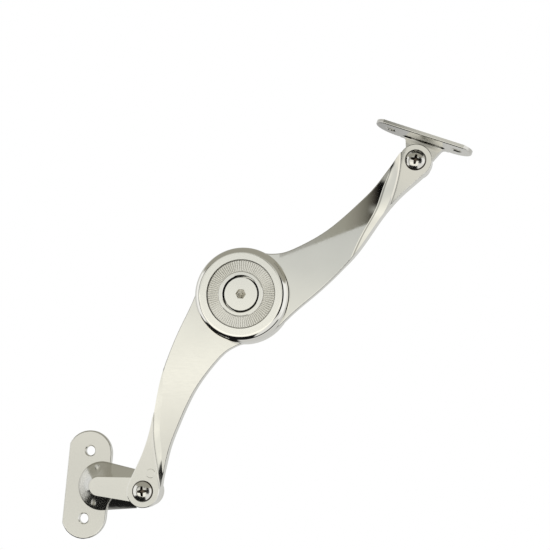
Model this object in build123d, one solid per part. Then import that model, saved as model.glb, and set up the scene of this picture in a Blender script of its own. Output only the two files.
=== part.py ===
"""Friction lid stay: two die-cast arms on an adjustable friction hub.

Frame (mm): the side panel is the plane Y = 0 and the stay stands in front of
it, towards -Y.  X points right, +Z is up.  The origin is the middle of the
cabinet bracket's mounting face, halfway between its two screw holes.
All pivots run along Y.
"""
import math
import os

from build123d import *

os.makedirs("parts", exist_ok=True)

# ---------------------------------------------------------------- main sizes
hole_spacing = 32.0          # between the two screw holes of either bracket
arm_length = 101.0           # hub centre to pivot centre, both arms
lower_arm_angle = -112.7     # hub to cabinet pivot, degrees from +X
upper_arm_angle = 42.4       # hub to flap pivot, degrees from +X
flap_plate_angle = -15.4     # slope of the flap bracket's plate

# depths, measured from the side panel towards the front
plate_thickness = 2.4        # cabinet plate
post_rise = 10.6             # cabinet plate to bracket face
spacer_thickness = 0.5       # washer between ear and bracket
ear_thickness = 7.0
lower_blade_thickness = 4.6
disc_gap = 0.4               # daylight between the two hub discs
upper_blade_thickness = 4.5
cap_thickness = 5.4

bracket_face_y = -(plate_thickness + post_rise)
ear_back_y = bracket_face_y - spacer_thickness
ear_front_y = ear_back_y - ear_thickness
lower_front_y = ear_back_y - lower_blade_thickness
upper_back_y = lower_front_y - disc_gap
upper_front_y = upper_back_y - upper_blade_thickness
cap_front_y = upper_front_y - cap_thickness

# hub
disc_radius = 22.0
bull_nose_radial = 3.3
bull_nose_rise = 4.4         # the rest of the cap is a straight side
flat_outer_radius = disc_radius - bull_nose_radial
ring_radius = 15.6
ring_gap = 0.4               # shadow line between knurled ring and cap
ring_lip_radius = 10.25
ring_bore_radius = 8.55
ring_seat_depth = 2.5
ring_face_drop = 0.7         # knurled face below the ring's inner lip
knurl_count = 88
knurl_depth = 0.3
screw_disc_radius = 7.75
screw_disc_edge = 0.15
screw_disc_drop = 0.5        # tension screw head below the cap's face
screw_disc_thickness = 2.5
hub_screw_radius = 4.0
thread_clearance = 0.05
socket_flats = 4.2           # takes a 4 mm key
socket_depth = 3.0
spring_thickness = 0.8
spring_rise = 0.5
spring_outer_radius = 7.6
thrust_thickness = 1.0
thrust_radius = 8.2
spigot_radius = 14.0
spigot_depth = 1.2
spigot_fit = 0.05            # radial clearance of cap and cover in their seats
hub_bush_radius = 5.15
running_clearance = 0.05
friction_inner_radius = 6.5
friction_outer_radius = 17.8
friction_thickness = 1.0
hub_nut_flats = 13.0
hub_nut_thickness = 3.4
cover_radius = 14.0
cover_spigot_radius = 12.0
cover_spigot_depth = 1.0
cover_rise = 3.0
cover_wall = 1.1

# pivots
ear_radius = 7.6
pivot_screw_radius = 2.0
pivot_head_radius = 4.6
pivot_head_height = 2.4
pivot_head_rim = 0.7         # straight side below the dome
pivot_head_sink = 0.4        # underside below the ear's front face
recess_length = 5.3          # cross recess, tip to tip
recess_depth = 1.9
pivot_bush_radius = 3.6
spring_washer_radius = 4.5
spring_washer_thickness = 0.5
spring_washer_rise = 0.35
washer_pocket_radius = 4.95
spacer_radius = 6.4
pivot_nut_flats = 7.0
pivot_nut_thickness = 3.0
pivot_nut_seat = 2.0         # wall left between bracket face and nut
ejector_mark_radius = 2.1
ejector_mark_rise = 0.15
ejector_mark_inset = 8.9     # pivot to mark, towards the hub
lower_band_drop = 0.6        # band's rise on the lower arm, the rest is a step
upper_band_drop = 0.7        # band's fall on the upper arm, the rest is a step
step_run = 0.8               # width of either step across its crease

ear_chamfer = 0.3            # rim of the lower ear
rim_round = 0.45             # soft rims on the front of the castings
back_round = 0.4

# brackets
plate_round = 0.7
plate_end_radius = 11.0
plate_end_offset = 14.6      # centre of each rounded end from the middle
plate_shift = 0.3            # end centres behind the hole line
plate_cut = 10.5             # straight edge from the hole line
plate_hole_radius = 2.25
plate_hole_chamfer = 0.5
pivot_reach = 32.0           # hole line to cabinet pivot
boss_thickness = 6.0         # overhanging end of the post, round the nut
post_foot_end = 25.5         # hole line to where the foot stops
post_foot_inset = 7.3        # hole line to the centre of the foot's round end
post_foot_radius = 11.5
post_foot_far_radius = 7.8   # under the pivot
post_face_inset = 8.6
post_face_radius = 4.35
post_face_far_radius = 6.0
core_mouth_radius = 7.4      # cored hollow behind the post
core_mouth_far = 16.5
core_mouth_far_radius = 5.8
core_end_radius = 1.9
core_end_far_radius = 2.4
core_roof = 2.6              # metal left under the post's face
flap_plate_height = 10.5     # flap pivot to the plate's near face
flap_plate_thickness = 1.8
flap_plate_end_radius = 10.0
flap_plate_end_offset = 13.2
flap_plate_cut = 8.2
flap_hole_forward = 5.2      # flap hole line in front of the tongue's face
tongue_thickness = 5.0
tongue_half_width = 9.2
tongue_end_radius = 6.8
tongue_fillet = 2.2
waist_depth = 1.2
waist_half_width = 12.0

# where the pivots are
hub_x = pivot_reach - arm_length * math.cos(math.radians(lower_arm_angle))
hub_z = -arm_length * math.sin(math.radians(lower_arm_angle))
flap_x = hub_x + arm_length * math.cos(math.radians(upper_arm_angle))
flap_z = hub_z + arm_length * math.sin(math.radians(upper_arm_angle))
hub_spot = Pos(hub_x, 0, hub_z)
cabinet_pivot = Pos(pivot_reach, 0, 0)
flap_pivot = Pos(flap_x, 0, flap_z)
flap_frame = flap_pivot * Rot(0, -flap_plate_angle, 0)


# ------------------------------------------------------------------- helpers
def slab(sketch, front, back):
    """Thicken an X-Z outline between two depths."""
    return Pos(0, back, 0) * extrude(Plane.XZ * sketch, back - front)


def turned(profile):
    """Revolve a list of (radius, depth) points about the Y axis."""
    return revolve(make_face(Polyline(*profile, close=True)), Axis.Y)


def ring(inner, outer, front, back):
    return turned([(inner, front), (outer, front), (outer, back), (inner, back)])


def rod(radius, front, back):
    return slab(Circle(radius), front, back)


def flats_prism(flats, front, back):
    return slab(RegularPolygon(flats / 2, 6, major_radius=False), front, back)


def at_depth(points, depth):
    return [Vector(x, depth, z) for x, z in points]


def region(points, depth, far):
    """Face at one depth: a curve through points, closed round the far corners."""
    curve = Spline(*at_depth(points, depth))
    rest = Polyline(*at_depth([points[-1]] + far + [points[0]], depth))
    return make_face([curve, rest])


def blend(first, second, fraction):
    return [(a[0] + (b[0] - a[0]) * fraction, a[1] + (b[1] - a[1]) * fraction)
            for a, b in zip(first, second)]


def shifted(points, across):
    """Move a crease sideways, towards the ear for positive values."""
    return [(x + 0.47 * across, z - 0.883 * across) for x, z in points]


def stepped_cutter(stages, far):
    """Solid whose one side runs through creases given as (depth, crease).

    Bands between neighbouring creases are ruled surfaces.
    """
    body = None
    for (level_a, crease_a), (level_b, crease_b) in zip(stages, stages[1:]):
        piece = loft([region(crease_a, level_a, far), region(crease_b, level_b, far)], ruled=True)
        body = piece if body is None else body + piece
    return body


def beyond(level_a, crease_a, level_b, crease_b, overshoot):
    """Stage that carries a band on past its far crease."""
    extra = overshoot / (level_b - level_a)
    return level_b + overshoot, blend(crease_a, crease_b, 1 + extra)


# ---------------------------------------------------------------------- arms
# Blade outline: percent of the arm's length from hub to pivot, mm across it.
outer_edge = [(13.9, -20.95), (25.7, -20.6), (37.6, -19.75), (49.5, -17.9), (61.4, -14.4),
              (73.3, -10.65), (85.1, -8.45)]
inner_edge = [(91.1, 5.05), (85.1, 3.35), (79.2, 1.8), (73.3, 0.75), (67.3, 0.15), (61.4, -0.35),
              (55.4, -0.65), (49.5, -0.65), (43.6, -0.15), (37.6, 0.85), (31.7, 2.2), (25.7, 4.4),
              (22.8, 6.35), (19.8, 9.2)]
outer_tangent_angle = -85.0
inner_tangent_angle = 104.6
inner_start_angle = 36.9

# Creases: main face to band, and band to ear face.
main_crease = [(41.6, -22.5), (49.2, -17.6), (55.9, -13.9), (63.4, -10.5), (72.8, -6.3),
               (80.7, -1), (85.3, 1.6), (89.1, 4.2), (94.1, 9)]
lower_ear_crease = [(44.6, -25.5), (52, -20.7), (57.9, -17), (65.3, -13.2), (74.8, -8.4),
                    (83, -2.7), (88.1, 1.2), (93.1, 5), (98, 9.3)]
upper_ear_crease = [(45.5, -27), (52.5, -22), (59.4, -18.2), (67.3, -14.2), (77.2, -9.7),
                    (86.1, -3.9), (91.1, 0.3), (95, 4.4), (100, 11)]
main_side = [(94.1, 45), (-39.6, 45), (-39.6, -45), (41.6, -45)]
ear_side = [(123.8, 11), (123.8, -45), (41.6, -45)]


def on_arm(points):
    """Turn percent stations into millimetres from the hub."""
    return [(arm_length * station / 100, across) for station, across in points]


def on_ear(angle):
    a = math.radians(angle)
    return (arm_length + ear_radius * math.cos(a), ear_radius * math.sin(a))


def blade_outline():
    a = math.radians(inner_start_angle)
    hub_point = (disc_radius * math.cos(a), disc_radius * math.sin(a))
    to_out = math.radians(outer_tangent_angle + 90)
    to_in = math.radians(inner_tangent_angle + 90)
    outer = Spline(*([(0, -disc_radius)] + on_arm(outer_edge) + [on_ear(outer_tangent_angle)]),
                   tangents=[(1, 0), (math.cos(to_out), math.sin(to_out))])
    end = ThreePointArc(on_ear(outer_tangent_angle), on_ear(0), on_ear(inner_tangent_angle))
    inner = Spline(*([on_ear(inner_tangent_angle)] + on_arm(inner_edge) + [hub_point]),
                   tangents=[(math.cos(to_in), math.sin(to_in)),
                             (-math.sin(a), math.cos(a))])
    back = Polyline(hub_point, (0, 0), (0, -disc_radius))
    return make_face([outer, end, inner, back]) + Circle(disc_radius)


def rim_edges(body, outline, level):
    """Edges that follow the outline at one flat level."""
    rims = []
    for e in body.edges():
        box = e.bounding_box()
        flat = abs(box.min.Y - level) < 1e-3 and abs(box.max.Y - level) < 1e-3
        middle = e @ 0.5
        if flat and outline.distance_to(Vector(middle.X, 0, middle.Z)) < 0.02:
            rims.append(e)
    return rims


def round_rims(body, outline, level, radius):
    return fillet(rim_edges(body, outline, level), radius)


def pivot_eye(body):
    """Bore the ear for its bush and sink the spring washer's seat."""
    bore = rod(pivot_bush_radius + running_clearance, ear_front_y - 1, ear_back_y + 1)
    seat = rod(washer_pocket_radius, ear_front_y - 1, washer_pocket_floor_y)
    return body - Pos(arm_length, 0, 0) * (bore + seat)


def make_lower_arm():
    """Rear arm: plain disc, blade, then a band rising to the raised ear."""
    body = slab(blade_outline(), ear_front_y, ear_back_y)
    rim = (Plane.XZ * blade_outline()).faces()[0].outer_wire()
    body = chamfer(rim_edges(body, rim, ear_front_y), ear_chamfer)
    creases = on_arm(main_crease), on_arm(lower_ear_crease)
    band_top = lower_front_y - lower_band_drop
    body = body - stepped_cutter([(lower_front_y, creases[0]), (band_top, creases[1]),
                                  (ear_front_y - 1, shifted(creases[1], step_run))],
                                 on_arm(main_side))
    body = round_rims(body, rim, lower_front_y, rim_round)
    body = round_rims(body, rim, ear_back_y, back_round)
    body = pivot_eye(body)
    top = ear_front_y - ejector_mark_rise
    mark = turned([(0, top), (ejector_mark_radius - ejector_mark_rise, top),
                   (ejector_mark_radius, ear_front_y), (ejector_mark_radius, ear_front_y + 0.5),
                   (0, ear_front_y + 0.5)])
    body = body + Pos(arm_length - ejector_mark_inset, 0, -0.5) * mark
    friction_seat = ring(friction_inner_radius, friction_outer_radius + 0.2,
                         lower_front_y - 1, lower_front_y + rear_friction_depth)
    cover_seat = rod(cover_spigot_radius, ear_back_y - cover_spigot_depth, ear_back_y + 1)
    nut_seat = flats_prism(hub_nut_flats + 0.1, hub_nut_front_y, ear_back_y + 1)
    bush_bore = rod(hub_bush_radius, lower_front_y - 1, hub_bush_back_y)
    screw_way = rod(hub_screw_radius + 0.1, lower_front_y - 1, ear_back_y + 1)
    return body - friction_seat - cover_seat - nut_seat - bush_bore - screw_way


def make_upper_arm():
    """Front arm: the blade steps back over a band to bring its ear level."""
    body = slab(blade_outline(), upper_front_y, ear_back_y)
    rim = (Plane.XZ * blade_outline()).faces()[0].outer_wire()
    body = round_rims(body, rim, upper_front_y, rim_round)
    main, ear = on_arm(main_crease), on_arm(upper_ear_crease)
    band_low = upper_front_y + upper_band_drop
    past_main = beyond(band_low, shifted(ear, -step_run), upper_front_y, main, -1.0)
    body = body - stepped_cutter([(ear_front_y, ear), (band_low, shifted(ear, -step_run)),
                                  (upper_front_y, main), past_main], on_arm(ear_side))
    behind = (upper_back_y, shifted(main, -1.5)), (ear_back_y, shifted(main, 3.5))
    past_ear = beyond(*behind[0], *behind[1], 1.0)
    body = body - stepped_cutter([*behind, past_ear], on_arm(main_side))
    body = round_rims(body, rim, ear_front_y, rim_round)
    body = round_rims(body, rim, ear_back_y, back_round)
    body = pivot_eye(body)
    spigot_seat = rod(spigot_radius, upper_front_y - 1, upper_front_y + spigot_depth)
    spring_seat = rod(thrust_radius + 0.3, upper_front_y - 1, thrust_back_y)
    bush_bore = rod(hub_bush_radius + running_clearance, upper_front_y - 1, upper_back_y + 1)
    friction_seat = ring(friction_inner_radius, friction_outer_radius + 0.2,
                         friction_front_y, upper_back_y + 1)
    return body - spigot_seat - spring_seat - bush_bore - friction_seat


# depths inside the hub
screw_disc_front_y = cap_front_y + screw_disc_drop
screw_disc_back_y = screw_disc_front_y + screw_disc_thickness
spring_stack = 2 * spring_thickness + spring_rise
spring_back_y = screw_disc_back_y + spring_stack
thrust_back_y = spring_back_y + thrust_thickness
friction_mid_y = (upper_back_y + lower_front_y) / 2
friction_front_y = friction_mid_y - friction_thickness
friction_rear_y = friction_mid_y + friction_thickness
rear_friction_depth = friction_rear_y - lower_front_y
hub_bush_back_y = friction_rear_y + 1.0
hub_nut_front_y = hub_bush_back_y + 0.6
hub_nut_back_y = hub_nut_front_y + hub_nut_thickness
cover_back_y = ear_back_y + cover_rise
hub_screw_end_y = hub_nut_back_y + 0.3


# ------------------------------------------------------------------- the hub
def make_hub_cap():
    """Front ring with a bull-nosed rim and a flat land round the knurl."""
    back = upper_front_y
    profile = make_face([
        Line((ring_radius + ring_gap, cap_front_y), (flat_outer_radius, cap_front_y)),
        EllipticalCenterArc((flat_outer_radius, cap_front_y + bull_nose_rise), bull_nose_radial,
                            bull_nose_rise, start_angle=270, arc_size=90),
        Polyline((disc_radius, cap_front_y + bull_nose_rise), (disc_radius, back),
                 (spigot_radius - spigot_fit, back),
                 (spigot_radius - spigot_fit, back + spigot_depth),
                 (ring_bore_radius, back + spigot_depth),
                 (ring_bore_radius, cap_front_y + ring_seat_depth),
                 (ring_radius + ring_gap, cap_front_y + ring_seat_depth),
                 (ring_radius + ring_gap, cap_front_y))])
    return revolve(profile, Axis.Y)


def make_knurled_ring():
    """Flat ring with fine V grooves running out from its raised inner lip."""
    face_y = cap_front_y + ring_face_drop
    back = cap_front_y + ring_seat_depth
    body = turned([(ring_bore_radius, cap_front_y + 0.15), (ring_bore_radius + 0.2, cap_front_y),
                   (ring_lip_radius - 0.2, cap_front_y), (ring_lip_radius, cap_front_y + 0.15),
                   (ring_lip_radius, face_y), (ring_radius - 0.2, face_y),
                   (ring_radius, face_y + 0.2), (ring_radius, back), (ring_bore_radius, back)])
    start = ring_lip_radius + 0.25
    pitch = 2 * math.pi / knurl_count

    def vee(radius):
        half = radius * pitch * 0.36
        return make_face(Polyline((radius, face_y - 0.05, -half), (radius, face_y - 0.05, half),
                                  (radius, face_y + knurl_depth * radius / ring_radius, 0),
                                  close=True))

    groove = loft([vee(start), vee(ring_radius + 0.5)], ruled=True)
    step = 360 / knurl_count
    return body - [Rot(0, i * step, 0) * groove for i in range(knurl_count)]


def make_tension_screw():
    edge = screw_disc_edge
    head = turned([(0, screw_disc_front_y), (screw_disc_radius - edge, screw_disc_front_y),
                   (screw_disc_radius, screw_disc_front_y + edge),
                   (screw_disc_radius, screw_disc_back_y), (0, screw_disc_back_y)])
    shank = turned([(0, screw_disc_back_y - 0.1), (hub_screw_radius, screw_disc_back_y - 0.1),
                    (hub_screw_radius, hub_screw_end_y - 0.6),
                    (hub_screw_radius - 0.6, hub_screw_end_y), (0, hub_screw_end_y)])
    socket = flats_prism(socket_flats, screw_disc_front_y - 1, screw_disc_front_y + socket_depth)
    cone = turned([(0, screw_disc_front_y + socket_depth - 0.05),
                   (socket_flats / 2, screw_disc_front_y + socket_depth - 0.05),
                   (0, screw_disc_front_y + socket_depth + 1.1)])
    return head + shank - socket - cone


def dished_ring(inner, outer, front, thickness, rise, opens_forward):
    """Conical spring washer lying between two depths."""
    near, away = (rise, 0) if opens_forward else (0, rise)
    return turned([(inner, front + near), (outer, front + away),
                   (outer, front + away + thickness), (inner, front + near + thickness)])


def make_hub_disc_springs():
    bore = hub_screw_radius + 0.15
    first = dished_ring(bore, spring_outer_radius, screw_disc_back_y, spring_thickness,
                        spring_rise, False)
    second = dished_ring(bore, spring_outer_radius, screw_disc_back_y + spring_thickness,
                         spring_thickness, spring_rise, False)
    return Compound(children=[first, second])


def make_rear_cover():
    front = ear_back_y - cover_spigot_depth
    outside = make_face([
        Polyline((0, front), (cover_spigot_radius - spigot_fit, front),
                 (cover_spigot_radius - spigot_fit, ear_back_y),
                 (cover_radius, ear_back_y), (cover_radius, ear_back_y + 0.6)),
        ThreePointArc((cover_radius, ear_back_y + 0.6), (cover_radius - 0.7, cover_back_y - 0.35),
                      (cover_radius - 2.4, cover_back_y)),
        Polyline((cover_radius - 2.4, cover_back_y), (0, cover_back_y), (0, front))])
    inside = rod(cover_spigot_radius - cover_wall - 1.2, front - 1, cover_back_y - cover_wall)
    return revolve(outside, Axis.Y) - inside


# ---------------------------------------------------------------- the pivots
def cross_recess(top):
    """Four tapering wings that narrow towards their tips and the bottom."""
    half = recess_length / 2

    def star(reach, width, depth):
        points = []
        for quarter in range(4):
            for angle, radius in ((-11, reach), (11, reach), (45, width)):
                a = math.radians(90 * quarter + angle)
                points.append((radius * math.cos(a), radius * math.sin(a)))
        return make_face(Polyline(*at_depth(points, depth), close=True))

    wide = star(half, 1.0, top - 0.05)
    deep = star(half * 0.4, 0.55, top + recess_depth)
    return Rot(0, -8, 0) * loft([wide, deep], ruled=True)


def make_pivot_screw():
    """Pan-head screw with a cross recess; the origin is on the pivot axis."""
    under = head_under_y
    top = under - pivot_head_height
    side = under - pivot_head_rim
    dome = pivot_head_height - pivot_head_rim
    middle = top + dome * 0.22
    head = make_face([
        Polyline((0, under), (pivot_head_radius, under), (pivot_head_radius, side)),
        ThreePointArc((pivot_head_radius, side), (pivot_head_radius * 0.55, middle), (0, top)),
        Line((0, top), (0, under))])
    end = bracket_face_y + pivot_screw_reach
    shank = turned([(0, under - 0.1), (pivot_screw_radius, under - 0.1),
                    (pivot_screw_radius, end - 0.5), (pivot_screw_radius - 0.5, end), (0, end)])
    return revolve(head, Axis.Y) + shank - cross_recess(top)


def make_pivot_bush():
    return ring(pivot_screw_radius, pivot_bush_radius, head_under_y, bracket_face_y)


def make_spring_washer():
    return dished_ring(pivot_bush_radius + 0.15, spring_washer_radius, head_under_y,
                       spring_washer_thickness, spring_washer_rise, True)


def make_spacer():
    return ring(pivot_bush_radius + 0.1, spacer_radius, ear_back_y, bracket_face_y)


def make_pivot_nut():
    body = flats_prism(pivot_nut_flats, pivot_nut_front_y, pivot_nut_back_y)
    corner = pivot_nut_flats / 2 / math.cos(math.pi / 6)
    crown = turned([(0, pivot_nut_front_y), (corner + 0.1, pivot_nut_front_y),
                    (corner + 0.1, pivot_nut_back_y - 0.4), (corner - 0.5, pivot_nut_back_y),
                    (0, pivot_nut_back_y)])
    return (body & crown) - rod(pivot_screw_radius, pivot_nut_front_y - 1, pivot_nut_back_y + 1)


head_under_y = ear_front_y + pivot_head_sink
washer_pocket_floor_y = head_under_y + spring_washer_thickness + spring_washer_rise
pivot_nut_front_y = bracket_face_y + pivot_nut_seat
pivot_nut_back_y = pivot_nut_front_y + pivot_nut_thickness
pivot_screw_reach = 5.6


# -------------------------------------------------------------- the brackets
def plate_outline(radius, offset, cut):
    """Rounded plate, hole line along local Y, straight edge on the local -X side."""
    ends = Pos(-plate_shift, offset) * Circle(radius) + Pos(-plate_shift, -offset) * Circle(radius)
    middle = Pos(-plate_shift, 0) * Rectangle(2 * radius, 2 * offset)
    keep = Pos(2 * radius - cut, 0) * Rectangle(4 * radius, 4 * (radius + offset))
    return (ends + middle) & keep


def stadium(x_a, r_a, x_b, r_b, depth):
    """Outline of two unequal circles on the X axis joined by tangents."""
    lean = math.asin((r_a - r_b) / (x_b - x_a))
    c, s = math.cos(lean), math.sin(lean)
    a_up, a_down = (x_a + r_a * s, r_a * c), (x_a + r_a * s, -r_a * c)
    b_up, b_down = (x_b + r_b * s, r_b * c), (x_b + r_b * s, -r_b * c)
    left = ThreePointArc(*at_depth([a_up, (x_a - r_a, 0), a_down], depth))
    right = ThreePointArc(*at_depth([b_down, (x_b + r_b, 0), b_up], depth))
    below = Line(*at_depth([a_down, b_down], depth))
    above = Line(*at_depth([b_up, a_up], depth))
    return make_face([left, below, right, above])


def make_cabinet_bracket():
    """Side-panel plate with a tapering post that carries the pivot."""
    outline = plate_outline(plate_end_radius, plate_end_offset, plate_cut)
    plate = slab(outline, -plate_thickness, 0)
    rim = (Plane.XZ * outline).faces()[0].outer_wire()
    plate = round_rims(plate, rim, -plate_thickness, plate_round)
    foot = stadium(post_foot_inset, post_foot_radius, pivot_reach, post_foot_far_radius,
                   -plate_thickness)
    face = stadium(post_face_inset, post_face_radius, pivot_reach, post_face_far_radius,
                   bracket_face_y)
    post = loft([foot, face], ruled=True)
    boss_back_y = bracket_face_y + boss_thickness
    room = 4 * post_foot_radius
    under = Pos(post_foot_end + room / 2, boss_back_y + room / 2, 0) * Box(room, room, room)
    inside = [e for e in under.edges() if abs(e.center().X - post_foot_end) < 0.01
              and abs(e.center().Y - boss_back_y) < 0.01]
    body = plate + (post - fillet(inside, 2.0))
    for side in (-1, 1):
        hole = rod(plate_hole_radius, -plate_thickness - 1, 1)
        bevel = turned([(0, -plate_thickness - 0.1),
                        (plate_hole_radius + plate_hole_chamfer + 0.1, -plate_thickness - 0.1),
                        (plate_hole_radius, -plate_thickness + plate_hole_chamfer),
                        (0, -plate_thickness + plate_hole_chamfer)])
        body = body - Pos(0, 0, side * hole_spacing / 2) * (hole + bevel)
    core_mouth = stadium(post_foot_inset, core_mouth_radius, core_mouth_far,
                         core_mouth_far_radius, 0.5)
    core_end = stadium(post_face_inset + 0.4, core_end_radius, core_mouth_far,
                       core_end_far_radius, bracket_face_y + core_roof)
    body = body - loft([core_mouth, core_end], ruled=True)
    bore = rod(pivot_screw_radius + 0.1, bracket_face_y - 1, 1)
    pocket = flats_prism(pivot_nut_flats + 0.1, pivot_nut_front_y, 1)
    return body - cabinet_pivot * (bore + pocket)


def make_flap_bracket():
    """Flap plate seen edge-on with a tongue hanging from its rear side.

    Drawn at the pivot: X along the plate, Z towards the flap.
    """
    near = flap_plate_height
    top = near + flap_plate_thickness
    line_y = bracket_face_y - flap_hole_forward
    flat = Rot(0, 0, 90) * plate_outline(flap_plate_end_radius, flap_plate_end_offset,
                                         flap_plate_cut)
    rear = flap_plate_end_radius + plate_shift
    waist = RectangleRounded(2 * waist_half_width, 2 * waist_depth, waist_depth * 0.9)
    flat = flat - Pos(0, rear) * waist
    plate = Pos(0, line_y, near) * extrude(flat, flap_plate_thickness)
    rims = [e for e in plate.edges() if abs(e.bounding_box().min.Z - near) < 1e-3
            and abs(e.bounding_box().max.Z - near) < 1e-3]
    plate = fillet(rims, 0.5)
    half, end = tongue_half_width, tongue_end_radius
    reach = math.hypot(half, near)
    lean = math.atan2(near, half) + math.acos(end / reach) - math.pi
    touch = (end * math.cos(lean), end * math.sin(lean))
    outline = make_face(Polyline((-half, top), (half, top), (half, near),
                                 (abs(touch[0]), -abs(touch[1])), (0, 0),
                                 (-abs(touch[0]), -abs(touch[1])), (-half, near), close=True))
    strip_half = half + tongue_fillet + 0.5
    outline = outline + Circle(end) + Pos(0, (near + top) / 2) * Rectangle(2 * strip_half, top - near)
    roots = [v for v in outline.vertices() if abs(abs(v.X) - half) < 0.01 and abs(v.Y - near) < 0.01]
    outline = fillet(roots, tongue_fillet)
    tongue = slab(outline, bracket_face_y, bracket_face_y + tongue_thickness)
    body = plate + tongue
    corner = [e for e in body.edges()
              if abs(e.center().Z - near) < 0.01 and abs(e.center().Y - bracket_face_y) < 0.01]
    body = fillet(corner, 0.7)
    for side in (-1, 1):
        hole = extrude(Pos(side * hole_spacing / 2, line_y, near - 1) * Circle(plate_hole_radius),
                       flap_plate_thickness + 2)
        body = body - hole
        wide = Pos(side * hole_spacing / 2, line_y, near - 0.1) * Circle(plate_hole_radius + 0.6)
        body = body - extrude(wide, 0.6, taper=45)
    bore = rod(pivot_screw_radius + 0.1, bracket_face_y - 1, 1)
    pocket = flats_prism(pivot_nut_flats + 0.1, pivot_nut_front_y, 1)
    return body - bore - pocket


# ------------------------------------------------------------------ assembly
lower_frame = hub_spot * Rot(0, -lower_arm_angle, 0)
upper_frame = hub_spot * Rot(0, -upper_arm_angle, 0)

parts = {
    "lower_arm": lower_frame * make_lower_arm(),
    "upper_arm": upper_frame * make_upper_arm(),
    "hub_cap": hub_spot * make_hub_cap(),
    "knurled_ring": hub_spot * make_knurled_ring(),
    "tension_screw": hub_spot * make_tension_screw(),
    "hub_disc_springs": hub_spot * make_hub_disc_springs(),
    "hub_thrust_washer": hub_spot * ring(hub_screw_radius + 0.1, thrust_radius,
                                         spring_back_y, thrust_back_y),
    "hub_bush": lower_frame * ring(hub_screw_radius + thread_clearance, hub_bush_radius,
                                   thrust_back_y + 0.05, hub_bush_back_y),
    "front_friction_disc": hub_spot * ring(friction_inner_radius, friction_outer_radius,
                                           friction_front_y, friction_mid_y),
    "rear_friction_disc": hub_spot * ring(friction_inner_radius, friction_outer_radius,
                                          friction_mid_y, friction_rear_y),
    "hub_nut": lower_frame * (flats_prism(hub_nut_flats, hub_nut_front_y, hub_nut_back_y)
                              - rod(hub_screw_radius + thread_clearance,
                                    hub_nut_front_y - 1, hub_nut_back_y + 1)),
    "rear_cover": hub_spot * make_rear_cover(),
    "cabinet_bracket": make_cabinet_bracket(),
    "cabinet_pivot_screw": cabinet_pivot * make_pivot_screw(),
    "cabinet_pivot_bush": cabinet_pivot * make_pivot_bush(),
    "cabinet_spring_washer": cabinet_pivot * make_spring_washer(),
    "cabinet_spacer": cabinet_pivot * make_spacer(),
    "cabinet_pivot_nut": cabinet_pivot * make_pivot_nut(),
    "flap_bracket": flap_frame * make_flap_bracket(),
    "flap_pivot_screw": flap_frame * make_pivot_screw(),
    "flap_pivot_bush": flap_frame * make_pivot_bush(),
    "flap_spring_washer": flap_frame * make_spring_washer(),
    "flap_spacer": flap_frame * make_spacer(),
    "flap_pivot_nut": flap_frame * make_pivot_nut(),
}

for name, shape in parts.items():
    export_step(shape, f"parts/{name}.step")
    print(name, "solids", len(shape.solids()), "volume", round(shape.volume, 1))
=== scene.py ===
"""Looks of the friction lid stay: nickel-plated castings in soft studio light.

Lengths are in metres, in the part's own frame: Y = 0 is the side panel, the
stay stands towards -Y, X points right and +Z is up.
"""
import math

import bmesh
import bpy
from mathutils import Matrix, Vector

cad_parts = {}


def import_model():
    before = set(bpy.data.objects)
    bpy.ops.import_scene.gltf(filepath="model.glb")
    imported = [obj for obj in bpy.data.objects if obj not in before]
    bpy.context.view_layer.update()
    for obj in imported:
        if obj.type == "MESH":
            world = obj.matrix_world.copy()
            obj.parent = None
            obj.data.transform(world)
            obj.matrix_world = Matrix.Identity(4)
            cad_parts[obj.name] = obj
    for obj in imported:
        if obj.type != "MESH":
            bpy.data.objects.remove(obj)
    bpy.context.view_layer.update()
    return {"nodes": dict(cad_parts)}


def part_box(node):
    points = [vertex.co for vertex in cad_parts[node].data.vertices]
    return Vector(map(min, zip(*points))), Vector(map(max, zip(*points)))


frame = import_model()

# ------------------------------------------------------------------ settings
camera_place = Vector((0.18748, -0.63395, 0.02752))
camera_forward = Vector((-0.16381, 0.97895, 0.12178))
camera_right = Vector((0.98440, 0.15419, 0.08470))
sensor_width = 36.0                   # mm
camera_lens = 88.78                   # mm
floor_middle = (0.09, 0.0, -0.16)
floor_radius = 0.9
backdrop_radius = 3.0
lamps_aim_at = (0.07, 0, 0.09)        # middle of the stay
lamp_size = 0.8

# colours of the part, with painted light and painted shade among them
nickel = (0.86, 0.85, 0.81)           # warm grey of bright nickel plate
dark_steel = (0.42, 0.41, 0.39)
black_oxide = (0.035, 0.033, 0.030)
lining = (0.055, 0.050, 0.045)
post_root_highlight = (0.98, 0.98, 0.96)        # painted highlight: bright ring where the post meets the plate
band_painted_reflection = (1.0, 0.97, 0.91)        # painted reflection at the far end of the front arm's band
# painted shade down in the tension screw's key socket
socket_painted_shade = (0.86, 0.84, 0.77)
screw_gap_painted_shade = (0.06, 0.057, 0.05)       # painted shade in the gap round the tension screw's side
# painted shade in the pivot screws' cross recesses and round their heads
recess_painted_shade = (0.13, 0.105, 0.085)
painted_line_shade = 0.45                     # nickel's share in painted shade lines and in the painted shade in the flap's fold
crease_painted_shade = 0.16                   # nickel's share in the painted shade down in creases

# colours of the studio
white = (1.0, 1.0, 1.0)
floor_white = (0.94, 0.94, 0.93)
ceiling = (0.36, 0.35, 0.30)
dark_room = (0.004, 0.004, 0.004)
below_black = (0.010, 0.010, 0.010)
table_white = (0.85, 0.85, 0.83)
side_white = (1.0, 1.0, 0.985)
rear_grey = (0.65, 0.65, 0.63)

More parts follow.
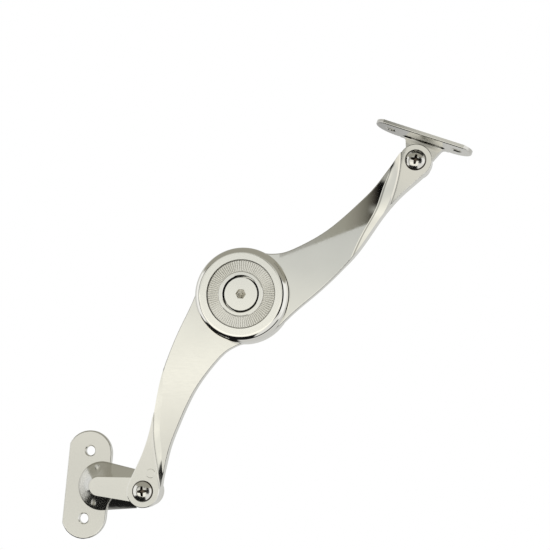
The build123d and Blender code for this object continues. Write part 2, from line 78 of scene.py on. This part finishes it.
# the soft box, by direction: its edges, and its tones from low to high
box_left, box_right = -1.235, 0.364   # right over ahead
box_bottom, box_top = -0.90, 0.57     # up over ahead
box_reach = (-0.5, 0.5)               # how far up the tones start and end
box_low = (1.10, 1.085, 1.0)
box_high = (0.62, 0.63, 0.61)
box_edge = (0.52, 0.53, 0.50)
box_tones = (
    (0.36, box_low), (0.445, (0.74, 0.74, 0.69)), (0.49, (0.81, 0.80, 0.745)),
    (0.51, (0.88, 0.87, 0.80)), (0.535, box_low), (0.56, (1.0, 0.99, 0.91)),
    (0.63, (0.68, 0.69, 0.66)), (0.665, box_high), (0.70, (0.76, 0.75, 0.69)),
    (0.95, box_edge),
)

# the dark card high in front: its outline as (x, z), and its tones from left to right
card_y = -0.524
card_outline = ((0.004, 0.181), (0.0885, 0.2195), (0.0995, 0.268), (0.107, 0.300),
                (0.107, 0.36), (0.004, 0.36))
card_reach = (0.004, 0.104)           # the tones' first and last x
card_tones = (
    (0.0, (0.42, 0.42, 0.39)), (0.24, (0.40, 0.40, 0.37)), (0.40, (0.375, 0.37, 0.32)),
    (0.52, (0.35, 0.345, 0.295)), (0.61, (0.28, 0.27, 0.23)), (0.69, (0.18, 0.175, 0.145)),
    (0.755, (0.05, 0.044, 0.037)), (0.785, (0.003, 0.003, 0.003)),
)
card_pale = (0.40, 0.40, 0.37)        # two patches at its right
window_left, window_bottom = 0.084, 0.2505
glint_left, glint_bottom, glint_top = 0.0770, 0.2235, 0.2285

# ways the metal is finished: range of roughness, depth of the casting's waves,
# depth and scale of the grain, and the grain's stretch
mirror = {"rough": (0.02, 0.035), "wave": 0.000012, "grain": 0.0000002, "grain_scale": 900}
brushed = {"rough": (0.07, 0.11), "wave": 0.00002, "grain": 0.0000005, "grain_scale": 1400,
           "stretch": (0.25, 1, 1)}
as_cast = {"rough": (0.08, 0.12), "wave": 0.000005, "grain": 0.0000001, "grain_scale": 2200}
duller_cast = {"rough": (0.10, 0.15), "wave": 0.000008, "grain": 0.0000002,
               "grain_scale": 2200}
knurl_cut = {"rough": (0.1, 0.1), "wave": 0.000005, "grain": 0.0000004, "grain_scale": 2600}
machined = {"wave": 0.000005, "grain": 0.0000004, "grain_scale": 2200}
coated = {"wave": 0.00001, "grain": 0.000004, "grain_scale": 1800}

noise_low, noise_high = 0.35, 0.65    # most of a noise lies between these
crease_reach = 0.0012                 # how near a step's walls the painted crease shade reaches
fold_reach = 0.0010                   # the same on the flap bracket


# ----------------------------------------------------------------- materials
class Nodes:
    """Short ways to add and join the nodes of one tree."""

    mix_below, mix_above, mix_result = 6, 7, 2     # a Mix node's colour sockets

    def __init__(self, tree):
        self.tree = tree

    def node(self, kind, **values):
        made = self.tree.nodes.new(kind)
        for key, value in values.items():
            if key in made.inputs:
                made.inputs[key].default_value = value
            else:
                setattr(made, key, value)
        return made

    def feed(self, value, socket):
        if isinstance(value, (int, float)):
            socket.default_value = value
        elif isinstance(value, tuple):
            socket.default_value = (*value, 1)
        else:
            self.tree.links.new(value, socket)

    def place(self, kind):
        """A texture coordinate, whole and as its X, Y and Z."""
        whole = self.node("ShaderNodeTexCoord").outputs[kind]
        split = self.node("ShaderNodeSeparateXYZ")
        self.feed(whole, split.inputs[0])
        return whole, split.outputs

    def math(self, operation, first, second=0.0):
        made = self.node("ShaderNodeMath", operation=operation)
        self.feed(first, made.inputs[0])
        self.feed(second, made.inputs[1])
        return made.outputs[0]

    def plus(self, first, second):
        return self.math("ADD", first, second)

    def minus(self, first, second):
        return self.math("SUBTRACT", first, second)

    def times(self, first, second):
        return self.math("MULTIPLY", first, second)

    def either(self, first, second):
        return self.math("MAXIMUM", first, second)

    def both(self, *masks):
        total = masks[0]
        for mask in masks[1:]:
            total = self.times(total, mask)
        return total

    def span(self, value, start, end, low=0.0, high=1.0, smooth=False):
        """Map start..end to low..high."""
        made = self.node("ShaderNodeMapRange")
        if smooth:
            made.interpolation_type = "SMOOTHSTEP"
        for key, number in (("From Min", start), ("From Max", end),
                            ("To Min", low), ("To Max", high)):
            made.inputs[key].default_value = number
        self.feed(value, made.inputs["Value"])
        return made.outputs["Result"]

    def step(self, value, middle, soft):
        """0 below the middle, 1 above it, smooth over +-soft."""
        return self.span(value, middle - soft, middle + soft, smooth=True)

    def under(self, value, middle, soft):
        return self.minus(1.0, self.step(value, middle, soft))

    def between(self, value, low, high, soft):
        return self.both(self.step(value, low, soft), self.under(value, high, soft))

    def mix(self, mask, below, above):
        made = self.node("ShaderNodeMix", data_type="RGBA")
        self.feed(mask, made.inputs["Factor"])
        self.feed(below, made.inputs[self.mix_below])
        self.feed(above, made.inputs[self.mix_above])
        return made.outputs[self.mix_result]

    def ramp(self, value, low, high, *tones):
        """Tones given as (share of the way from low to high, colour)."""
        made = self.node("ShaderNodeValToRGB")
        while len(made.color_ramp.elements) < len(tones):
            made.color_ramp.elements.new(0.5)
        for element, (share, colour) in zip(made.color_ramp.elements, tones):
            element.position = share
            element.color = (*colour, 1)
        self.feed(self.span(value, low, high), made.inputs["Fac"])
        return made.outputs["Color"]


class Graph(Nodes):
    """A new material with its shader and the place on the object."""

    def __init__(self, name):
        self.material = bpy.data.materials.new(name)
        self.material.use_nodes = True
        super().__init__(self.material.node_tree)
        self.shader = self.tree.nodes["Principled BSDF"]
        self.coordinates, (self.x, self.y, self.z) = self.place("Object")

    def noise(self, scale, detail, stretch=(1, 1, 1)):
        mapping = self.node("ShaderNodeMapping")
        mapping.inputs["Scale"].default_value = stretch
        cloud = self.node("ShaderNodeTexNoise", Scale=scale, Detail=detail)
        self.feed(self.coordinates, mapping.inputs["Vector"])
        self.feed(mapping.outputs["Vector"], cloud.inputs["Vector"])
        return cloud.outputs["Fac"]

    def away(self, x, z):
        """Distance from an axis that runs along Y."""
        dx = self.minus(self.x, x)
        dz = self.minus(self.z, z)
        return self.math("SQRT", self.plus(self.times(dx, dx), self.times(dz, dz)))

    def corner(self, reach, dark, light):
        """1 in the corners and steps of the surface, 0 in the open."""
        made = self.node("ShaderNodeAmbientOcclusion", samples=12, only_local=True)
        made.inputs["Distance"].default_value = reach
        return self.span(made.outputs["AO"], dark, light, 1.0, 0.0, smooth=True)

    def rougher(self, roughness, mask, extra):
        """Roughness with something extra where the mask is 1."""
        return self.plus(roughness, self.times(mask, extra))

    def set(self, name, value):
        self.feed(value, self.shader.inputs[name])

    def bump(self, *layers):
        """Stack bumps given as (height, depth in metres)."""
        normal = None
        for height, depth in layers:
            made = self.node("ShaderNodeBump", Strength=1.0, Distance=depth)
            self.feed(height, made.inputs["Height"])
            if normal:
                self.feed(normal, made.inputs["Normal"])
            normal = made.outputs["Normal"]
        self.feed(normal, self.shader.inputs["Normal"])


def shade(colour, amount):
    return tuple(min(1.0, c * amount) for c in colour)


def centre(node):
    low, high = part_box(node)
    return (low[0] + high[0]) / 2, (low[2] + high[2]) / 2


def front(node):
    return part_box(node)[0][1]


hub_at = centre("knurled_ring")
ring_face = front("knurled_ring")
screw_face = front("tension_screw")
cap_face = front("hub_cap")
flap_at = (0.148826, 0.173138)        # x and z of the middle of the flap plate's outer face
flap_slope = -15.4                    # degrees


def plated(name, colour, rough, wave, grain, grain_scale, stretch=(1, 1, 1), change=None,
           crease=0.0):
    """Nickel plate: slow waves of the casting and a fine grain under the plating."""
    cloud_dark, cloud_light = 0.98, 1.015
    g = Graph(name)
    g.shader.inputs["Metallic"].default_value = 1.0
    cloud = g.noise(scale=55, detail=4)
    tone = g.ramp(cloud, noise_low, noise_high, (0.0, shade(colour, cloud_dark)),
                  (1.0, shade(colour, cloud_light)))
    fine = g.noise(grain_scale, 4, stretch)
    roughness = g.span(fine, noise_low, noise_high, *rough)
    if change:
        tone, roughness = change(g, tone, roughness)
    # painted shade in creases and steps, found by ambient occlusion
    if crease:
        tone = g.mix(g.corner(crease, dark=0.60, light=0.90), tone,
                     shade(nickel, crease_painted_shade))
    g.set("Base Color", tone)
    g.set("Roughness", roughness)
    g.bump((g.noise(scale=38, detail=1), wave), (fine, grain))
    return g.material


def painted_plate_shade(g, tone, roughness):
    """Painted shade on the cabinet plate and a painted highlight at the post's root; both are
    also rougher.
    """
    post_foot_y, root_front_y, root_right_x = -0.0034, -0.0118, 0.010
    plate_shade, extra_rough = 0.90, 0.05
    plate = g.step(g.y, post_foot_y, soft=0.0006)
    root = g.both(g.under(g.y, post_foot_y, soft=0.0006),
                  g.step(g.y, root_front_y, soft=0.0004),
                  g.under(g.x, root_right_x, soft=0.004))
    tone = g.mix(plate, g.mix(root, tone, post_root_highlight), shade(nickel, plate_shade))
    return tone, g.rougher(roughness, g.either(plate, root), extra_rough)


def band_tone(low, high, line, reach, tones):
    """Tones along an arm's sunk band, a painted reflection where they brighten, and a painted
    shade line beside it.

    low, high and line are depths along Y; reach is the band's lower and upper Z.
    """
    half_line = 0.00005

    def change(g, tone, roughness):
        band = g.between(g.y, low, high, soft=0.00008)
        along = g.ramp(g.z, *reach, *tones)
        fine = g.between(g.y, line - half_line, line + half_line, soft=0.00003)
        return g.mix(fine, g.mix(band, tone, along), shade(nickel, painted_line_shade)), roughness
    return change


def flap_shades(g, tone, roughness):
    """Painted shade: the flap plate's underside darkens to the left, and the fold below it is
    darker too.
    """
    underside_top, underside_bottom = 0.00170, 0.00200     # below the outer face
    dark_end, light_end = -0.020, 0.012                    # along the plate
    dark_shade, light_shade = 0.42, 0.84
    fold_shade_left, fold_shade_right = -0.0045, 0.0055
    fold_shade_top, fold_shade_bottom = 0.0020, 0.0036
    tilt = math.radians(flap_slope)
    x, z = flap_at
    dx = g.minus(g.x, x)
    dz = g.minus(g.z, z)
    along = g.plus(g.times(dx, math.cos(tilt)), g.times(dz, math.sin(tilt)))
    depth = g.minus(g.times(dx, math.sin(tilt)), g.times(dz, math.cos(tilt)))
    underside = g.between(depth, underside_top, underside_bottom, soft=0.00008)
    underside_painted_shade = g.ramp(along, dark_end, light_end, (0.0, shade(nickel, dark_shade)),
                       (1.0, shade(nickel, light_shade)))
    fold_shade = g.both(g.between(along, fold_shade_left, fold_shade_right, soft=0.004),
                    g.between(depth, fold_shade_top, fold_shade_bottom, soft=0.0005))
    tone = g.mix(underside, tone, underside_painted_shade)
    return g.mix(fold_shade, tone, shade(nickel, painted_line_shade)), roughness


def satin_land_painted_light(g, tone, roughness):
    """The hub cap's flat land is ground, its nose is polished; the land's lighter tone is
    painted light.
    """
    land_depth, land_painted_light, extra_rough = 0.00008, 1.13, 0.13
    land = g.under(g.y, cap_face + land_depth, soft=0.00005)
    return g.mix(land, tone, shade(nickel, land_painted_light)), g.rougher(roughness, land, extra_rough)


def knurl_shadow(g, tone, roughness):
    """Bright lip with a painted shade line round it; a duller knurl painted a little lighter,
    with painted shade in its grooves; painted shade in the bore.
    """
    bore_radius, lip_radius, line_radius = 0.00864, 0.01030, 0.01052
    groove_top, groove_bottom, bore_edge = 0.00072, 0.00096, 0.0003    # behind the lip
    knurl_shade, groove_shade, bore_shade, extra_rough = 1.05, 0.88, 0.06, 0.22
    away = g.away(*hub_at)
    knurl = g.step(away, lip_radius, soft=0.00006)
    groove = g.both(knurl, g.span(g.y, ring_face + groove_top, ring_face + groove_bottom))
    tone = g.mix(knurl, tone, shade(nickel, knurl_shade))
    tone = g.mix(groove, tone, shade(nickel, groove_shade))
    lip_line = g.both(knurl, g.under(away, line_radius, soft=0.00006))
    bore = g.both(g.under(away, bore_radius, soft=0.00005),
                  g.step(g.y, ring_face + bore_edge, soft=0.0001))
    tone = g.mix(lip_line, tone, shade(nickel, painted_line_shade))
    tone = g.mix(bore, tone, shade(nickel, bore_shade))
    return tone, g.rougher(roughness, knurl, extra_rough)


def socket_shade(g, tone, roughness):
    """Duller metal with painted shade down in the key socket, darker painted shade round the
    screw's side.
    """
    shade_depth, socket_reach, extra_rough = 0.00045, 0.0045, 0.30
    deep = g.step(g.y, screw_face + shade_depth, soft=0.0002)
    outside = g.step(g.away(*hub_at), socket_reach, soft=0.0005)
    shadow = g.mix(outside, socket_painted_shade, screw_gap_painted_shade)
    return g.mix(deep, tone, shadow), g.rougher(roughness, deep, extra_rough)


def recess_shade(node):
    """Painted brownish shade down in the cross recess and on the head's rim."""
    x, z = centre(node)
    top = front(node)
    dome_fall = 58.5                  # depth of the dome over its radius squared, 1/m
    shade_depth, recess_radius, rim_radius = 0.00012, 0.0030, 0.00435
    extra_rough = 0.25

    def change(g, tone, roughness):
        away = g.away(x, z)
        dome = g.plus(top, g.times(g.times(away, away), dome_fall))
        deep = g.both(g.step(g.minus(g.y, dome), shade_depth, soft=0.00005),
                      g.under(away, recess_radius, soft=0.0001))
        dark = g.either(deep, g.step(away, rim_radius, soft=0.00010))
        return g.mix(dark, tone, recess_painted_shade), g.rougher(roughness, dark, extra_rough)
    return change


# the front arm's band brightens towards its far end: painted reflection
polished = plated("polished_nickel", nickel, **mirror, crease=crease_reach,
                  change=band_tone(low=-0.02285, high=-0.0212, line=-0.0229,
                                   reach=(0.120, 0.156),
                                   tones=((0.0, shade(nickel, 0.84)),
                                          (0.5, shade(nickel, 0.98)), (1.0, band_painted_reflection))))
capped = plated("ground_and_polished_nickel", nickel, **mirror, crease=crease_reach,
                change=satin_land_painted_light)
satin = plated("satin_nickel", nickel, **brushed, crease=crease_reach)
# the lower arm's band keeps an even tone; only its painted shade line shows
lower = plated("satin_arm_nickel", nickel, **brushed, crease=crease_reach,
               change=band_tone(low=-0.0176, high=-0.0174, line=-0.0180, reach=(0.0, 0.05),
                                tones=((0.0, nickel), (1.0, nickel))))
cast = plated("cast_nickel", nickel, **as_cast, change=painted_plate_shade)
# the flap bracket's nickel is darkened to 0.84 of the rest: painted shade
flap_cast = plated("flap_nickel", shade(nickel, 0.84), **duller_cast, crease=fold_reach,
                   change=flap_shades)
# the knurled ring's nickel is lightened by 1.04: painted light
knurled = plated("knurled_nickel", shade(nickel, 1.04), **knurl_cut, change=knurl_shadow)
# the tension screw's nickel is lightened by 1.09: painted light
screw_metal = plated("bright_screw", shade(nickel, 1.09), rough=(0.08, 0.13), **machined,
                     change=socket_shade)
steel = plated("zinc_steel", dark_steel, rough=(0.28, 0.42), **coated)
black_steel = plated("black_steel", black_oxide, rough=(0.35, 0.5), **coated)


def fibre():
    """Pressed friction lining with paler and darker specks."""
    dark_speck, pale_speck, speck_depth = 0.7, 1.6, 0.00002
    least_rough, most_rough = 0.75, 0.92
    g = Graph("friction_lining")
    speck = g.noise(scale=2400, detail=5)
    g.set("Base Color", g.ramp(speck, noise_low, noise_high, (0.0, shade(lining, dark_speck)),
                               (1.0, shade(lining, pale_speck))))
    g.set("Roughness", g.span(speck, noise_low, noise_high, least_rough, most_rough))
    g.bump((speck, speck_depth))
    return g.material


lining_material = fibre()

finish = {
    "upper_arm": polished, "hub_cap": capped, "lower_arm": lower, "rear_cover": satin,
    "cabinet_bracket": cast, "flap_bracket": flap_cast, "knurled_ring": knurled,
    "tension_screw": screw_metal, "front_friction_disc": lining_material,
    "rear_friction_disc": lining_material, "hub_disc_springs": black_steel,
    "hub_thrust_washer": black_steel,
}
for end in ("cabinet", "flap"):
    node = end + "_pivot_screw"
    finish[node] = plated(end + "_screw", shade(nickel, 0.94), rough=(0.14, 0.20), **machined,
                          change=recess_shade(node))
    finish[end + "_pivot_bush"] = black_steel
    finish[end + "_spring_washer"] = black_steel
for name, obj in frame["nodes"].items():
    obj.data.materials.clear()
    obj.data.materials.append(finish.get(name, steel))
    for face in obj.data.polygons:
        face.material_index = 0


# -------------------------------------------------------------------- camera
def add(name, data):
    obj = bpy.data.objects.new(name, data)
    bpy.context.collection.objects.link(obj)
    return obj


def look(place, forward, right):
    up = right.cross(forward).normalized()
    side = forward.cross(up).normalized()
    turn = Matrix((side, up, -forward.normalized())).transposed()
    return Matrix.Translation(place) @ turn.to_4x4()


lens = bpy.data.cameras.new("camera")
lens.sensor_width = sensor_width
lens.lens = camera_lens
lens.clip_start = 0.01
camera = add("camera", lens)
camera.matrix_world = look(camera_place, camera_forward, camera_right)
bpy.context.scene.camera = camera


# --------------------------------------------------------------------- stage
def glow(name):
    """White light of its own: gives the material, its nodes and the light's colour."""
    material = bpy.data.materials.new(name)
    material.use_nodes = True
    nodes = Nodes(material.node_tree)
    nodes.tree.nodes.clear()
    light = nodes.node("ShaderNodeEmission", Strength=1.0)
    nodes.feed(white, light.inputs["Color"])
    out = nodes.node("ShaderNodeOutputMaterial")
    nodes.feed(light.outputs["Emission"], out.inputs["Surface"])
    return material, nodes, light.inputs["Color"]


def card(name, corners, paint):
    """Flat card: glows on its own, seen in reflections, hidden from the lens."""
    mesh = bpy.data.meshes.new(name)
    mesh.from_pydata([Vector(c) for c in corners], [], [list(range(len(corners)))])
    obj = add(name, mesh)
    material, nodes, colour = glow(name)
    mesh.materials.append(material)
    _, (x, _, z) = nodes.place("Object")
    nodes.feed(paint(nodes, x, z), colour)
    obj.visible_camera = False
    obj.visible_shadow = False


def formed(name, make, **sizes):
    """Object made by one bmesh operator."""
    mesh = bpy.data.meshes.new(name)
    form = bmesh.new()
    make(form, **sizes)
    form.to_mesh(mesh)
    form.free()
    return add(name, mesh)


def backdrop():
    """White surround for the lens only: it neither lights nor is mirrored."""
    obj = formed("backdrop", bmesh.ops.create_uvsphere, u_segments=32, v_segments=16,
                 radius=backdrop_radius)
    obj.data.materials.append(glow("backdrop_white")[0])
    for way in ("glossy", "diffuse", "transmission", "shadow"):
        setattr(obj, "visible_" + way, False)


def floor():
    """Pale matt floor under the stay, left out of the reflections."""
    obj = formed("floor", bmesh.ops.create_circle, cap_ends=True, segments=96,
                 radius=floor_radius)
    obj.location = floor_middle
    g = Graph("floor_white")
    g.set("Base Color", floor_white)
    g.set("Roughness", 0.9)
    obj.data.materials.append(g.material)
    obj.visible_glossy = False


class Sky(Nodes):
    """World shader made from the direction a ray leaves in."""

    def __init__(self, tree):
        super().__init__(tree)
        _, (self.right, back, self.up) = self.place("Generated")
        self.front = self.times(back, -1.0)


def world():
    """What the polished metal mirrors: a soft box in front, white cards at the sides,
    a dim ceiling, black below, and a bright table to the lower right."""
    made = bpy.data.worlds.new("studio")
    bpy.context.scene.world = made
    made.use_nodes = True
    made.node_tree.nodes.clear()
    sky = Sky(made.node_tree)
    least_ahead = 0.02                # keeps the two shares below finite
    ahead = sky.either(sky.front, least_ahead)
    across = sky.math("DIVIDE", sky.right, ahead)
    rise = sky.math("DIVIDE", sky.up, ahead)

    # white cards at both sides, grey further back, and the ceiling
    side_slant, side_edge, left_side_edge = 0.14, 0.57, -1.6
    rear_from, ceiling_from = -0.30, 0.45
    lean = sky.minus(sky.front, sky.times(sky.right, side_slant))
    sides = sky.either(sky.under(lean, side_edge, soft=0.03),
                       sky.under(across, left_side_edge, soft=0.05))
    rear = sky.under(sky.front, rear_from, soft=0.20)
    colour = sky.mix(sides, dark_room, side_white)
    colour = sky.mix(rear, colour, rear_grey)
    colour = sky.mix(sky.step(sky.up, ceiling_from, soft=0.04), colour, ceiling)

    # black below; at the rear it reaches higher, but only at the left
    rear_edge, front_drop = -0.30, 0.20
    beside, rear_right_edge = -0.20, -0.15
    ahead_or_beside = sky.step(sky.front, beside, soft=0.10)
    black_edge = sky.minus(rear_edge, sky.times(ahead_or_beside, front_drop))
    low = sky.under(sky.minus(sky.up, black_edge), 0.0, soft=0.04)
    low = sky.both(low, sky.either(ahead_or_beside,
                                   sky.under(sky.right, rear_right_edge, soft=0.05)))
    colour = sky.mix(low, colour, below_black)

    table_left, table_top, table_rear = 0.26, -0.29, 0.10
    table = sky.both(sky.step(sky.right, table_left, soft=0.04),
                     sky.under(sky.up, table_top, soft=0.03),
                     sky.step(sky.front, table_rear, soft=0.10))
    colour = sky.mix(table, colour, table_white)

    # the soft box, cream low down and greyer towards its top
    edge, box_rear = 0.03, 0.05
    box = sky.both(sky.step(across, box_left, edge), sky.under(across, box_right, edge),
                   sky.step(rise, box_bottom, edge), sky.under(rise, box_top, edge),
                   sky.step(sky.front, box_rear, soft=0.02))
    colour = sky.mix(box, colour, sky.ramp(sky.up, *box_reach, *box_tones))

    back = sky.node("ShaderNodeBackground", Strength=1.0)
    out = sky.node("ShaderNodeOutputWorld")
    sky.feed(colour, back.inputs["Color"])
    sky.feed(back.outputs["Background"], out.inputs["Surface"])


def card_paint(n, x, z):
    """Olive at the left and nearly black at the right, with two paler patches there."""
    wall = n.ramp(x, *card_reach, *card_tones)
    window = n.both(n.step(z, window_bottom, soft=0.002), n.step(x, window_left, soft=0.003))
    glint = n.both(n.under(z, glint_top, soft=0.0030), n.step(z, glint_bottom, soft=0.0030),
                   n.step(x, glint_left, soft=0.0035))
    return n.mix(n.either(window, glint), wall, card_pale)


def area(name, place, power):
    """Square lamp that lights the stay but shows nowhere."""
    light = bpy.data.lights.new(name, "AREA")
    light.shape = "SQUARE"
    light.size = lamp_size
    light.energy = power
    obj = add(name, light)
    obj.location = place
    aim = Vector(lamps_aim_at) - Vector(place)
    obj.rotation_euler = aim.to_track_quat("-Z", "Y").to_euler()
    obj.visible_camera = False
    obj.visible_glossy = False


backdrop()
floor()
world()
# the polished front arm mirrors the slanting edge of this card
card("dark_card", [(x, card_y, z) for x, z in card_outline], card_paint)
area("key", (-0.5, -0.9, 0.8), power=6)
area("fill", (0.9, -0.7, 0.3), power=3)

scene = bpy.context.scene
scene.view_settings.view_transform = "Standard"
scene.view_settings.look = "None"
